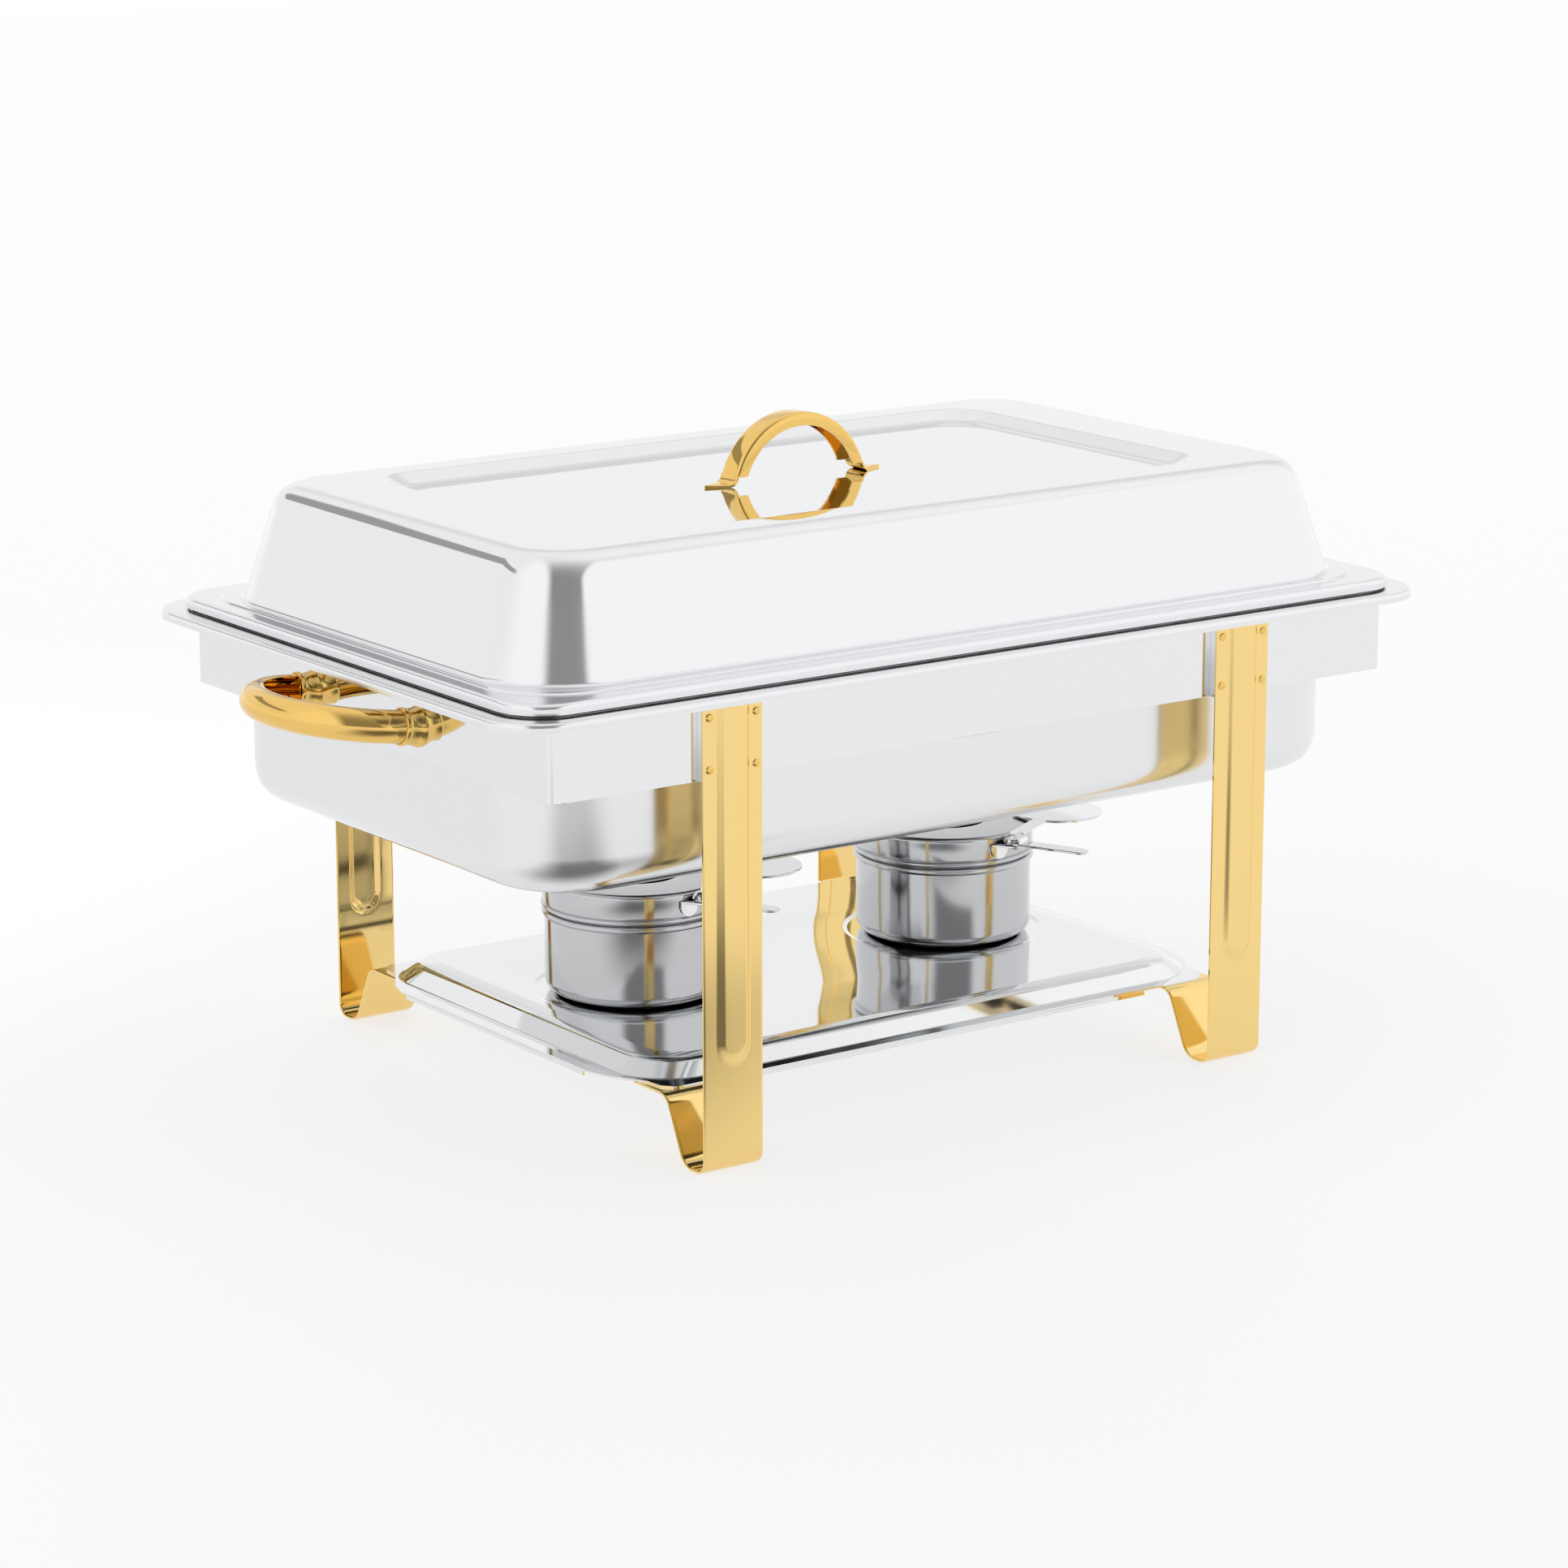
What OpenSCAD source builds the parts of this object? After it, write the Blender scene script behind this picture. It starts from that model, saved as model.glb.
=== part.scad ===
// Full-size buffet server with a water bath: a domed cover, a food pan and a water pan
// stand on a four-legged frame, over a shelf that carries two burner pots.
// Millimetres. X runs along the long side, the front is -Y, Z is up, and the feet stand on z = 0.

/* [Frame] */
// Length of the frame band, outside
band_len = 510; // [480:1:530]
// Width of the frame band, outside
band_wid = 328; // [310:1:340]
// Height of the frame band
band_h = 36; // [28:0.5:44]
// Height of the band's lower edge above the table
band_z = 192; // [170:1:210]
// Thickness of the band's sheet
band_t = 1; // [0.8:0.1:1.5]

/* [Legs] */
// Width of a leg strap
leg_w = 34; // [28:0.5:40]
// Thickness of a leg strap
leg_t = 1.4; // [1:0.1:2]
// Distance from the middle of the frame to the middle of a leg, along X
leg_x = 156.5; // [130:0.5:190]
// Distance from the middle of the frame to the outer face of a leg, along Y
leg_y = 169.3; // [167:0.1:175]
// Width of the pressed rib in a leg
rib_w = 19.4; // [14:0.2:24]
// Height that the rib stands proud
rib_h = 2.2; // [1:0.1:3]
// Height of the rib's round lower end above the table
rib_end_z = 54; // [40:1:80]
// Diameter of a rivet head
rivet_d = 4.2; // [3:0.1:6]

/* [Pans] */
// Length of the water pan over its rim
rim_len = 561; // [545:1:575]
// Width of the water pan over its rim
rim_wid = 354.5; // [345:0.5:365]
// Depth of the water pan below its rim
water_pan_deep = 95.2; // [80:0.2:110]
// Length of the food pan over its rim, a standard full size
food_rim_len = 530; // [530:1:530]
// Width of the food pan over its rim, a standard full size
food_rim_wid = 325; // [325:1:325]
// Depth of the food pan
food_pan_deep = 65; // [40:1:70]
// Thickness of the pan sheet
pan_t = 1; // [0.8:0.1:1.2]

/* [Lid] */
// Length of the lid over its flange
lid_len = 538.6; // [536:0.2:545]
// Width of the lid over its flange
lid_wid = 334.2; // [332:0.2:340]
// Height of the dome above the flange
dome_h = 60; // [45:1:75]
// Radius of the dome's top edge
dome_edge_r = 24; // [12:1:28]
// Depth of the sunk panel in the middle of the dome's top
lid_panel_deep = 5; // [2:0.5:8]
// Width of the lid handle's strap
lid_handle_w = 14.5; // [12:0.5:20]
// Height of the lid handle above the panel
lid_handle_h = 34.2; // [28:0.2:40]

/* [Side handles] */
// Distance between the two arms of a side handle
side_handle_span = 98; // [80:1:120]
// Distance that a side handle stands out from the band
side_handle_out = 59.5; // [50:0.5:70]
// Height of the side handle's section
side_handle_h = 16.2; // [12:0.2:20]
// Upward tilt of a side handle
side_handle_tilt = 6.8; // [0:0.2:12]

/* [Burner shelf] */
// Length of the shelf over its flange
shelf_len = 369.4; // [350:0.2:380]
// Width of the shelf over its flange
shelf_wid = 265.6; // [250:0.2:268]
// Height of the shelf's raised top above the table
shelf_top_z = 42.7; // [38:0.1:48]
// Distance from the middle of the shelf to each burner
burner_x = 98.2; // [70:0.2:110]

/* [Burners] */
// Diameter of a burner pot
pot_d = 92; // [80:1:100]
// Height of a burner pot up to its rolled rim
pot_h = 44; // [36:1:50]
// Height of the burner cover above the pot's rim
cover_h = 15.5; // [12:0.5:18]
// Diameter of the opening in the burner cover
cover_hole_d = 43; // [36:1:44]
// Diameter of the snuffer disc
snuffer_d = 48; // [46:1:54]

/* [Hidden] */
$fn = 96;

eps = 0.01;
gap = 0.3; // clearance between parts that lift apart
gold = "goldenrod";
steel = "silver";

// Frame
band_r = 3;
leg_top_z = band_z + band_h - 0.2;
leg_u_front_r = 7; // outer radius of the foot's front bend
leg_u_flat = 4; // flat length under the foot
leg_u_back_r = 11; // outer radius of the foot's rear bend
leg_rise = 65; // slope of the rising part, from level
leg_tab_r = 8; // centreline radius of the bend into the shelf tab
leg_tab_z = 33.2; // top face of the shelf tab
leg_tab_end = 60; // reach of the tab from the leg's outer face
rivet_dx = 13.4;
rivet_z = [198, 223];
rivet_shank_d = 3;
rivet_hole_d = 3.1;
leg_gap = leg_y - leg_t - band_wid / 2; // space between the band and the leg's back

// Pans: heights of the stack
ledge_z = band_z + band_h + gap; // underside of the water pan's ledge
rim_z = ledge_z + 4.9; // top of the water pan's rim
rim_r = 31;
rim_lip = 4.3;
ledge_len = food_rim_len + 5;
ledge_wid = food_rim_wid + 5.4;
ledge_r = 24;
well_len = 502;
well_wid = 295.4;
well_r = 47;
well_edge_r = 20;
food_rim_z = ledge_z + 9.9; // top of the food pan's rim
food_rim_r = 21;
food_well_len = 490;
food_well_wid = 282;
food_well_r = 42;
food_edge_r = 16;

// Lid
lid_lip_z = ledge_z + 6; // lowest edge of the lid's flange
flange_z = food_rim_z + gap + 1; // top of the lid's flange
lid_t = 1;
lid_r = 25;
dome_len = 508;
dome_wid = 296;
dome_r = 42;
dome_draft = 13; // slope of the dome's wall, degrees
dome_top_z = flange_z + dome_h;
panel_len = 370; // sunk panel that carries the handle
panel_wid = 200;
panel_r = 20;
panel_z = dome_top_z - lid_panel_deep;
step_w = 5;
step_h = 1.2;
handle_half = 41; // half the lid handle's span
handle_web = 1.4;
handle_deep = 6.6; // depth of the channel
handle_foot = 13.5; // length of each pointed foot
handle_neck = 5.5; // height below which the channel's flanges are cut away

// Side handles
arm_z = 208;
handle_t = 1.4;
arm_start = 2.6; // gap between the arm's end and the band
arm_straight = 9.5;
ferrule_len = 10.5;

// Shelf
shelf_t = 1;
flange_top_z = leg_tab_z + shelf_t;
platform_base = [351, 252];
platform_top = [312, 223.4];
shelf_hem = 2.4;
seat_d = 104; // shallow round seat for each burner
seat_deep = 0.6;
// One corner of the flange, from its short side round to its long side
ear = [[0, 46.8], [3.7, 33.8], [14.2, 16.3], [15.2, 5.8], [20.7, 0]];

// Burners: local heights above the pot's base
pot_z = shelf_top_z - seat_deep + gap;
pot_t = 1;
pot_edge_r = 7;
bead_r = 1.9;
cover_d = 95;
cover_t = 0.9;
cover_z = pot_h + gap;
cover_top = cover_z + cover_h;
pivot = [6, -54]; // snuffer pivot, from the pot's axis
arm_len = norm(pivot); // brings the disc over the opening when it is closed
arm_dir = 27.8; // direction of the snuffer's arm when open
arm_w = 8;
lever_dir = -66; // direction of the snuffer's lever when open
lever_len = 42;
lever_w = 9.6;
plate_t = 1.2;
disc_z = cover_top + 0.8;
lever_z = cover_top - 4;
eye_r = 5;
eye_len = 9;
pin_d = 3;
pin_clearance = 0.06;
pin_head_d = 5.4;
ledge_t = 1.2;
ledge_top = lever_z - gap;

function arc(cx, cy, r, a0, a1, n) =
  [for (k = [0:n]) let (a = a0 + (a1 - a0) * k / n) [cx + r * cos(a), cy + r * sin(a)]];

// Points offset sideways from an open path, for a strip of even thickness
function side(p, d) = [for (i = [0:len(p) - 1])
  let (a = p[max(i - 1, 0)], b = p[min(i + 1, len(p) - 1)], v = (b - a) / norm(b - a))
  [p[i][0] - v[1] * d, p[i][1] + v[0] * d]];
function flip(p) = [for (i = [len(p) - 1:-1:0]) p[i]];
module strip(p, t) polygon(concat(side(p, t / 2), flip(side(p, -t / 2))));

module rrect(l, w, r) {
  square([l - 2 * r, w], center = true);
  square([l, w - 2 * r], center = true);
  for (x = [-1, 1], y = [-1, 1]) translate([x * (l / 2 - r), y * (w / 2 - r)]) circle(r);
}

// A flat ring between two rounded rectangles
module plate_ring(outer, inner, z, t) {
  translate([0, 0, z]) linear_extrude(t) difference() {
    rrect(outer[0], outer[1], outer[2]);
    rrect(inner[0], inner[1], inner[2]);
  }
}

module slab(l, w, r, z, t) translate([0, 0, z]) linear_extrude(t) rrect(l, w, r);

// Carries a profile round a rounded rectangle: its x is the distance outward from the outline
module carry(l, w, r) {
  cx = l / 2 - r;
  cy = w / 2 - r;
  for (q = [[1, 1, 0], [-1, 1, 90], [-1, -1, 180], [1, -1, 270]])
    translate([q[0] * cx, q[1] * cy, 0]) rotate([0, 0, q[2]])
      rotate_extrude(angle = 90) translate([r, 0]) children();
  for (s = [0, 180]) rotate([0, 0, s]) {
    translate([cx + r, cy, 0]) rotate([90, 0, 0]) linear_extrude(2 * cy) children();
    translate([-cx, cy + r, 0]) rotate([90, 0, 90]) linear_extrude(2 * cx) children();
  }
}

// Side profile of a drawn wall that turns into a bottom or a top plate: x outward, y up
module drawn_wall(depth, edge_r, draft, t) {
  inset = tan(draft) * (depth - edge_r * (1 - sin(draft)));
  cx = -inset - edge_r * cos(draft);
  wall = concat([[0, 0]], arc(cx, -depth + edge_r, edge_r, -draft, -90, 14));
  back = concat(arc(cx, -depth + edge_r, edge_r - t, -90, -draft, 14), [[-t / cos(draft), 0]]);
  polygon(concat(wall, back));
}
function wall_inset(depth, edge_r, draft) =
  tan(draft) * (depth - edge_r * (1 - sin(draft))) + edge_r * cos(draft);

module lid_dome() color(steel) {
  inset = wall_inset(dome_h, dome_edge_r, dome_draft);
  plate_ring([lid_len - 3, lid_wid - 3, lid_r - 1.5], [dome_len - 2, dome_wid - 2, dome_r - 1],
    flange_z - lid_t, lid_t);
  carry(lid_len, lid_wid, lid_r)
    polygon(concat([[-lid_t, lid_lip_z], [0, lid_lip_z]], arc(-2.5, flange_z - 2.5, 2.5, 0, 90, 6),
      arc(-2.5, flange_z - 2.5, 1.5, 90, 0, 6)));
  plate_ring([dome_len + 2 * step_w, dome_wid + 2 * step_w, dome_r + step_w],
    [dome_len - 2, dome_wid - 2, dome_r - 1], flange_z - eps, step_h);
  carry(dome_len, dome_wid, dome_r) translate([0, flange_z - lid_t]) mirror([0, 1])
    drawn_wall(dome_h + lid_t, dome_edge_r, dome_draft, lid_t);
  // Flat border, and the sunk panel with its upright edge
  plate_ring([dome_len - 2 * inset + 2, dome_wid - 2 * inset + 2, dome_r - inset + 1],
    [panel_len + lid_t, panel_wid + lid_t, panel_r + lid_t / 2], dome_top_z - lid_t, lid_t);
  plate_ring([panel_len + 2 * lid_t, panel_wid + 2 * lid_t, panel_r + lid_t],
    [panel_len, panel_wid, panel_r], panel_z - lid_t, lid_panel_deep + lid_t);
  slab(panel_len + lid_t, panel_wid + lid_t, panel_r + lid_t / 2, panel_z - lid_t, lid_t);
}

// Circle through the ends and the top of the lid handle's arch, or one set in from it
arch_r = (handle_half * handle_half + lid_handle_h * lid_handle_h) / (2 * lid_handle_h);
module arch_disc(inset) translate([0, panel_z + lid_handle_h - arch_r]) circle(arch_r - inset);

// A channel-shaped arch, open below, whose strap ends in two flat pointed feet
module lid_handle() color(gold) {
  rotate([90, 0, 0]) difference() {
    linear_extrude(lid_handle_w, center = true) difference() {
      intersection() {
        arch_disc(0);
        translate([-handle_half, panel_z]) square([2 * handle_half, lid_handle_h + 1]);
      }
      arch_disc(handle_deep);
    }
    linear_extrude(lid_handle_w - 2 * handle_web, center = true) arch_disc(handle_web);
    linear_extrude(lid_handle_w + 2, center = true) intersection() {
      arch_disc(handle_web);
      translate([-handle_half, panel_z - 1]) square([2 * handle_half, handle_neck + 1]);
    }
  }
  w = lid_handle_w / 2;
  leaf = [[-3, -w], [1, -w], [5, -4.6], [handle_foot - 1, -1], [handle_foot, 0],
    [handle_foot - 1, 1], [5, 4.6], [1, w], [-3, w]];
  for (s = [0, 180]) rotate([0, 0, s]) translate([handle_half, 0, panel_z])
    linear_extrude(handle_web) polygon(leaf);
}

module food_pan() color(steel) {
  well = food_pan_deep;
  inset = wall_inset(well, food_edge_r, 3);
  plate_ring([food_rim_len - 3, food_rim_wid - 3, food_rim_r - 1.5],
    [food_well_len - 2, food_well_wid - 2, food_well_r - 1], food_rim_z - pan_t, pan_t);
  carry(food_rim_len, food_rim_wid, food_rim_r)
    polygon(concat([[-pan_t, ledge_z + pan_t + gap], [0, ledge_z + pan_t + gap]],
      arc(-2.5, food_rim_z - 2.5, 2.5, 0, 90, 6), arc(-2.5, food_rim_z - 2.5, 1.5, 90, 0, 6)));
  carry(food_well_len, food_well_wid, food_well_r) translate([0, food_rim_z])
    drawn_wall(well, food_edge_r, 3, pan_t);
  slab(food_well_len - 2 * inset + 2, food_well_wid - 2 * inset + 2, food_well_r - inset + 1,
    food_rim_z - well, pan_t);
}

module water_pan() color(steel) {
  deep = water_pan_deep - (rim_z - ledge_z) + pan_t;
  plate_ring([rim_len - 4, rim_wid - 4, rim_r - 2],
    [ledge_len + pan_t, ledge_wid + pan_t, ledge_r + pan_t / 2], rim_z - pan_t, pan_t);
  carry(rim_len, rim_wid, rim_r)
    polygon(concat([[-pan_t, rim_z - rim_lip], [0, rim_z - rim_lip]], arc(-3, rim_z - 3, 3, 0, 90, 6),
      arc(-3, rim_z - 3, 2, 90, 0, 6)));
  plate_ring([ledge_len + 2 * pan_t, ledge_wid + 2 * pan_t, ledge_r + pan_t],
    [ledge_len, ledge_wid, ledge_r], ledge_z, rim_z - ledge_z);
  plate_ring([ledge_len + pan_t, ledge_wid + pan_t, ledge_r + pan_t / 2],
    [well_len - pan_t, well_wid - pan_t, well_r - pan_t / 2], ledge_z, pan_t);
  carry(well_len, well_wid, well_r) translate([0, ledge_z + pan_t])
    drawn_wall(deep, well_edge_r, 0, pan_t);
  slab(well_len - 2 * well_edge_r + 2, well_wid - 2 * well_edge_r + 2, well_r - well_edge_r + 1,
    ledge_z + pan_t - deep, pan_t);
}

module at_rivets(sx, sy) {
  for (dx = [-rivet_dx, rivet_dx], z = rivet_z)
    translate([sx * leg_x + dx, sy * leg_y, z]) rotate([90, 0, sy > 0 ? 180 : 0]) children();
}

module frame_band() color(steel) difference() {
  plate_ring([band_len, band_wid, band_r], [band_len - 2 * band_t, band_wid - 2 * band_t, band_r - band_t],
    band_z, band_h);
  for (sx = [-1, 1], sy = [-1, 1]) at_rivets(sx, sy)
    translate([0, 0, -leg_t - leg_gap - band_t - 1]) cylinder(d = rivet_hole_d, h = band_t + 2);
}

// Centreline of a leg's strap: x inward from the outer face, y up
function leg_path() = let (
    h = leg_t / 2,
    rear = arc(leg_u_front_r + leg_u_flat, leg_u_back_r, leg_u_back_r - h, 270, 270 + leg_rise, 10),
    low = rear[10],
    tab_z = leg_tab_z - h,
    top_z = tab_z - leg_tab_r * (1 - cos(leg_rise)),
    top_x = low[0] + (top_z - low[1]) / tan(leg_rise),
    bend_x = top_x + leg_tab_r * sin(leg_rise)
  ) concat(
    [[h, leg_top_z]], arc(leg_u_front_r, leg_u_front_r, leg_u_front_r - h, 180, 270, 8), rear,
    arc(bend_x, tab_z - leg_tab_r, leg_tab_r, 90 + leg_rise, 90, 8), [[leg_tab_end, tab_z]]);

// Cross-section of the pressed rib: x across the leg, y outward from the leg's outer face
module rib_section(half) {
  slope = 3.4; // width of the rib's sloping side
  x1 = rib_w / 2;
  x2 = x1 - slope;
  outer = [[x1, -leg_t], [x1, 0], [x2, rib_h], [half ? 0 : -x2, rib_h]];
  inner = [[half ? 0 : -x2 + 0.6, rib_h - leg_t], [x2 - 0.6, rib_h - leg_t], [x1 - 1.6, -leg_t]];
  left = half ? [] : [[-x1, 0], [-x1, -leg_t], [-x1 + 1.6, -leg_t]];
  polygon(concat(outer, left, inner));
}

// A leg at the frame's front, its outer face in the plane y = 0
module leg_shape() {
  rib_z = rib_end_z + rib_w / 2;
  difference() {
    translate([-leg_w / 2, 0, 0]) rotate([90, 0, 90]) linear_extrude(leg_w) strip(leg_path(), leg_t);
    translate([0, -1, 0]) {
      translate([-rib_w / 2, 0, rib_z]) cube([rib_w, leg_t + 2, leg_top_z]);
      translate([0, 0, rib_z]) rotate([-90, 0, 0]) cylinder(d = rib_w, h = leg_t + 2);
    }
    for (dx = [-rivet_dx, rivet_dx], z = rivet_z)
      translate([dx, -1, z]) rotate([-90, 0, 0]) cylinder(d = rivet_hole_d, h = leg_t + 2);
  }
  translate([0, 0, rib_z]) mirror([0, 1, 0]) linear_extrude(leg_top_z - rib_z) rib_section(false);
  translate([0, 0, rib_z]) rotate([90, 0, 0]) rotate([0, 0, 180])
    rotate_extrude(angle = 180) rib_section(true);
}

module leg(sx, sy) color(gold)
  translate([sx * leg_x, sy * leg_y, 0]) mirror([0, sy > 0 ? 1 : 0, 0]) leg_shape();

module leg_rivets(sx, sy) color(gold) at_rivets(sx, sy) rotate_extrude()
  polygon(concat(
    [[0, -leg_t - leg_gap - band_t - 1.2], [rivet_d / 2, -leg_t - leg_gap - band_t - 1.2],
      [rivet_d / 2, -leg_t - leg_gap - band_t], [rivet_shank_d / 2, -leg_t - leg_gap - band_t],
      [rivet_shank_d / 2, -leg_t - leg_gap], [rivet_d / 2 + 0.6, -leg_t - leg_gap],
      [rivet_d / 2 + 0.6, -leg_t], [rivet_shank_d / 2, -leg_t], [rivet_shank_d / 2, 0], [rivet_d / 2, 0]],
    [for (k = [1:6]) [rivet_d / 2 * cos(15 * k), 0.9 * sin(15 * k)]]));

module handle_section() {
  r = side_handle_h / 2;
  intersection() {
    difference() {
      circle(r);
      circle(r - handle_t);
    }
    translate([-2.2, -r - 1]) square([2 * r, 2 * r + 2]);
  }
}

// Places things in the handle's own frame: x outward from the band, tilted up
module at_handle(s) translate([s * band_len / 2, 0, arm_z]) mirror([s < 0 ? 1 : 0, 0, 0])
  rotate([0, -side_handle_tilt, 0]) children();

// Two straight arms, a wide quarter bend at each, and a short straight middle
module side_handle(s) color(gold) at_handle(s) {
  half = side_handle_span / 2;
  bend = side_handle_out - side_handle_h / 2 - arm_straight;
  for (m = [0, 1]) mirror([0, m, 0]) {
    translate([arm_start, half, 0]) rotate([90, 0, 90])
      linear_extrude(arm_straight - arm_start) handle_section();
    translate([arm_straight, half - bend, 0])
      rotate_extrude(angle = 90) translate([bend, 0]) handle_section();
  }
  translate([arm_straight + bend, half - bend, 0]) rotate([90, 0, 0])
    linear_extrude(2 * (half - bend)) handle_section();
}

module handle_ferrules(s) color(gold) difference() {
  at_handle(s) for (y = [-1, 1]) translate([0, y * side_handle_span / 2, 0]) rotate([0, 90, 0])
    rotate_extrude() {
      ri = side_handle_h / 2 + 0.1;
      polygon([[0, -2], [ri + 1.9, -2], [ri + 1.9, 3], [ri + 1.1, 4], [ri + 1.7, 5.5], [ri + 1.7, 7],
        [ri + 0.9, 8], [ri + 0.9, ferrule_len], [ri, ferrule_len], [ri, 2.4], [0, 2.4]]);
    }
  translate([s > 0 ? band_len / 2 - 10 : -band_len / 2, -100, arm_z - 30]) cube([10, 200, 60]);
}

module shelf_outline() {
  polygon(concat(
    [for (p = ear) [shelf_len / 2 - p[0], shelf_wid / 2 - p[1]]],
    [for (p = flip(ear)) [-shelf_len / 2 + p[0], shelf_wid / 2 - p[1]]],
    [for (p = ear) [-shelf_len / 2 + p[0], -shelf_wid / 2 + p[1]]],
    [for (p = flip(ear)) [shelf_len / 2 - p[0], -shelf_wid / 2 + p[1]]]));
}

// The raised platform's wall slopes more along X than along Y, so each side is its own wedge
module platform(grow, z0, z1) {
  b = platform_base / 2 + [grow, grow];
  t = platform_top / 2 + [grow, grow];
  intersection() {
    rotate([90, 0, 0]) translate([0, 0, -b[1]]) linear_extrude(2 * b[1])
      polygon([[-b[0], z0], [b[0], z0], [t[0], z1], [-t[0], z1]]);
    rotate([90, 0, 90]) translate([0, 0, -b[0]]) linear_extrude(2 * b[0])
      polygon([[-b[1], z0], [b[1], z0], [t[1], z1], [-t[1], z1]]);
    translate([0, 0, z0 - 1]) linear_extrude(z1 - z0 + 2) rrect(2 * b[0], 2 * b[1], 16);
  }
}

module burner_shelf() color(steel) {
  difference() {
    union() {
      translate([0, 0, leg_tab_z]) linear_extrude(shelf_t) shelf_outline();
      platform(0, flange_top_z - eps, shelf_top_z);
    }
    platform(-1.2, leg_tab_z - 1, shelf_top_z - shelf_t);
    for (s = [-1, 1]) translate([s * burner_x, 0, shelf_top_z - seat_deep])
      cylinder(d = seat_d, h = 2);
  }
  hem_x = leg_x - leg_w / 2 - 12;
  hem_y = shelf_wid / 2 - 50;
  for (s = [-1, 1]) {
    translate([-hem_x, s * (shelf_wid / 2 - shelf_t / 2) - shelf_t / 2, leg_tab_z - shelf_hem])
      cube([2 * hem_x, shelf_t, shelf_hem + eps]);
    translate([s * (shelf_len / 2 - shelf_t / 2) - shelf_t / 2, -hem_y, leg_tab_z - shelf_hem])
      cube([shelf_t, 2 * hem_y, shelf_hem + eps]);
  }
}

module at_burner(s) translate([s * burner_x, 0, pot_z]) children();

module burner_pot(s) color(steel) at_burner(s) rotate_extrude() {
  r = pot_d / 2;
  polygon(concat([[0, 0]], arc(r - pot_edge_r, pot_edge_r, pot_edge_r, 270, 360, 10),
    arc(r, pot_h - 2 * bead_r, bead_r, -60, 60, 6), [[r, pot_h], [r - pot_t, pot_h]],
    arc(r - pot_edge_r, pot_edge_r, pot_edge_r - pot_t, 360, 270, 10), [[0, pot_t]]));
}

module burner_cover(s) color(steel) at_burner(s) rotate_extrude() {
  r = cover_d / 2;
  hole = cover_hole_d / 2;
  neck = pot_d / 2 - pot_t - gap;
  polygon(concat(
    [[r + 0.5, cover_z], [r + 0.5, cover_z + 1.4], [r, cover_z + 1.8]],
    arc(r - 1.6, cover_top - 1.6, 1.6, 0, 90, 5),
    [[hole, cover_top], [hole, cover_top - 3], [hole + cover_t, cover_top - 3],
      [hole + cover_t, cover_top - cover_t], [r - 1.6, cover_top - cover_t],
      [r - cover_t, cover_top - 1.6], [r - cover_t, cover_z + cover_t],
      [neck - cover_t, cover_z + cover_t], [neck - cover_t, cover_z - 6], [neck, cover_z - 6],
      [neck, cover_z]]));
}

// The snuffer in its open position: the disc's arm leaves the top of an arched eye,
// and the lever leaves the eye's foot
module snuffer(s) color(steel) at_burner(s) translate([pivot[0], pivot[1], 0]) {
  rotate([0, 0, arm_dir]) translate([0, 0, disc_z]) linear_extrude(plate_t) {
    translate([arm_len, 0]) circle(d = snuffer_d);
    translate([2, -arm_w / 2]) square([arm_len - 2, arm_w]);
  }
  rotate([0, 0, lever_dir]) {
    difference() {
      translate([0, 0, lever_z]) linear_extrude(plate_t) {
        circle(eye_r + 0.6);
        translate([0, -lever_w / 2]) square([lever_len - lever_w / 2, lever_w]);
        translate([lever_len - lever_w / 2, 0]) circle(d = lever_w);
      }
      translate([0, 0, lever_z - 1]) cylinder(d = pin_d + 2 * pin_clearance, h = plate_t + 2);
    }
    translate([0, eye_len / 2, lever_z + plate_t - eps]) rotate([90, 0, 0]) linear_extrude(eye_len)
      difference() {
        circle(eye_r);
        circle(eye_r - 1);
        translate([-eye_r - 1, -eye_r - 1]) square([2 * eye_r + 2, eye_r + 1]);
      }
  }
}

module snuffer_bracket(s) color(steel) at_burner(s) {
  r = cover_d / 2;
  tab_t = 1.3;
  tab_w = 10;
  tab_low = cover_z + 3.2;
  // Curved tab that lies on the cover's side
  intersection() {
    translate([0, 0, tab_low]) difference() {
      cylinder(r = r + tab_t, h = ledge_top - tab_low);
      translate([0, 0, -1]) cylinder(r = r + eps, h = ledge_top - tab_low + 2);
    }
    rotate([90, 0, 0]) linear_extrude(2 * r) {
      translate([-tab_w / 2, tab_low + tab_w / 2]) square([tab_w, ledge_top - tab_low]);
      translate([0, tab_low + tab_w / 2]) circle(d = tab_w);
    }
  }
  // Ledge that carries the pin
  translate([0, 0, ledge_top - ledge_t]) linear_extrude(ledge_t) difference() {
    union() {
      translate(pivot) circle(eye_r);
      translate([-tab_w / 2, pivot[1]]) square([pivot[0] + tab_w, eye_r + 3]);
    }
    circle(r = r + eps);
    translate(pivot) circle(d = pin_d);
  }
}

module snuffer_pin(s) color(steel) at_burner(s)
  translate([pivot[0], pivot[1], ledge_top - ledge_t - 1]) {
    under_head = lever_z + plate_t + gap / 2 - (ledge_top - ledge_t - 1);
    cylinder(d = pin_head_d, h = 1);
    cylinder(d = pin_d, h = under_head + eps);
    translate([0, 0, under_head]) cylinder(d = pin_head_d, h = 1);
  }

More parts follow.
